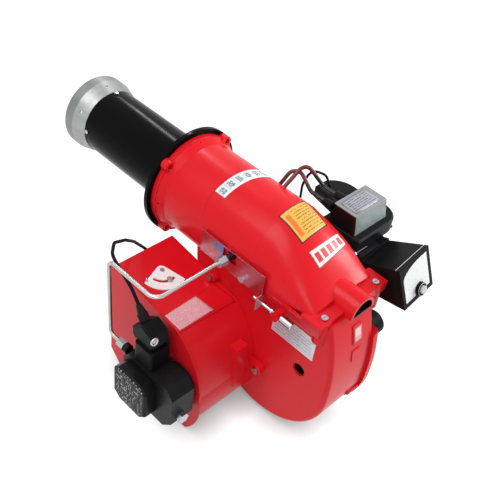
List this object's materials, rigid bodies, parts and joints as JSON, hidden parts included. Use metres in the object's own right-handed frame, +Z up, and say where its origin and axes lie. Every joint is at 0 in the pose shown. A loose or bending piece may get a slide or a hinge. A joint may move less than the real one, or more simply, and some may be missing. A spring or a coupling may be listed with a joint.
{
  "type": "forced-draught diesel burner",
  "caption": "Oil burner: blast tube with combustion head, fan casing with a bolted top cover, air box with a damper dial, oil pump, motor, ignition transformer and control box",
  "frame": {"origin": "centre of the boiler-side face of the tube flange, on the blast tube's axis", "axes": "+Y along the blast tube to the flame, +X to the motor side, +Z up as the burner hangs on a boiler"},
  "size_m": [0.4376, 0.6401, 0.3743],
  "materials": {
    "red_casting": "gloss red enamel on castings",
    "black_tube": "gloss black heat-proof paint",
    "head_steel": "spun steel, satin",
    "zinc_steel": "zinc-plated sheet and screws",
    "pipe_steel": "drawn steel pipe, satin",
    "brass": "turned brass",
    "black_casting": "dark cast pump body",
    "grey_aluminium": "die-cast, matt",
    "black_plastic": "moulded black plastic",
    "grey_plastic": "moulded grey plastic",
    "resin_grey": "cast resin case, semi-gloss",
    "white_plastic": "white moulded dial",
    "black_rubber": "matt rubber",
    "lead_red": "dark red silicone lead",
    "ceramic_white": "unglazed insulator",
    "sight_glass": "clear window",
    "red_button": "reset button"
  },
  "bodies": {
    "frame": {"blast_tube": "black_tube", "cable_gland": "grey_plastic", "capacitor_clip": "zinc_steel", "case_screws": "zinc_steel", "coil_lead": "black_rubber", "coil_plug": "black_plastic", "control_base": "black_plastic", "control_box": "black_plastic", "cup_screws": "zinc_steel", "dial_lock_screw": "zinc_steel", "electrics_bracket": "black_plastic", "electrode_clamp": "brass", "electrode_insulators": "ceramic_white", "electrode_tips": "zinc_steel", "fan_casing": "red_casting", "flame_cup": "head_steel", "flange_screws": "zinc_steel", "ht_boots": "black_rubber", "ht_leads": "lead_red", "intake_box": "red_casting", "intake_end_plate": "zinc_steel", "intake_grille": "black_plastic", "lead_grommet": "black_rubber", "line_support": "zinc_steel", "motor_bearings": "zinc_steel", "motor_capacitor": "grey_aluminium", "motor_end_cap": "grey_aluminium", "motor_lead": "black_rubber", "motor_plate": "red_casting", "motor_shell": "grey_aluminium", "motor_stator": "grey_aluminium", "nozzle_holder": "brass", "nozzle_line": "brass", "oil_nozzle": "brass", "oil_pipe": "pipe_steel", "peep_window": "sight_glass", "pipe_nuts": "zinc_steel", "pump_body": "black_casting", "pump_cover": "black_casting", "pump_port_plugs": "zinc_steel", "rating_plate": "zinc_steel", "terminal_block": "black_plastic", "top_cover": "red_casting", "transformer_block": "resin_grey", "transformer_tray": "black_plastic", "tube_flange": "black_tube", "union_adapter": "black_rubber", "valve_coil": "black_plastic"},
    "rotor": {"fan_impeller": "grey_aluminium", "motor_rotor": "grey_aluminium", "shaft_coupling": "black_plastic", "pump_shaft": "zinc_steel"},
    "damper": {"air_dial": "white_plastic", "air_damper": "zinc_steel"},
    "head_regulator": {"regulator_bracket": "zinc_steel", "slider_bolt": "zinc_steel", "push_rod": "zinc_steel", "diffuser_disc": "head_steel"},
    "adjuster": {"regulator_screw": "zinc_steel"},
    "reset": {"reset_button": "red_button"}
  },
  "joints": [
    {"name": "fan_spin", "type": "hinge", "parent": "frame", "child": "rotor", "pos_m": [0, -0.204, -0.172], "axis": [1, 0, 0], "continuous": true},
    {"name": "damper_turn", "type": "hinge", "parent": "frame", "child": "damper", "pos_m": [-0.122, -0.084, -0.0724], "axis": [0, -0.1322, 0.9912], "range_deg": [-18, 40]},
    {"name": "head_slide", "type": "slide", "parent": "frame", "child": "head_regulator", "axis": [0, 1, 0], "range_m": [-0.006, 0.006]},
    {"name": "adjuster_turn", "type": "hinge", "parent": "frame", "child": "adjuster", "pos_m": [-0.08, -0.28, -0.033], "axis": [0, 1, 0], "range_deg": [-2160, 2160]},
    {"name": "reset_press", "type": "slide", "parent": "frame", "child": "reset", "axis": [0, 0.9403, -0.3404], "range_m": [0, 0.0025], "stiffness_N_per_m": 300}
  ],
  "couplings": [
    {"joint": "adjuster_turn", "follows": "head_slide", "rad_per_m": 6283.2}
  ]
}
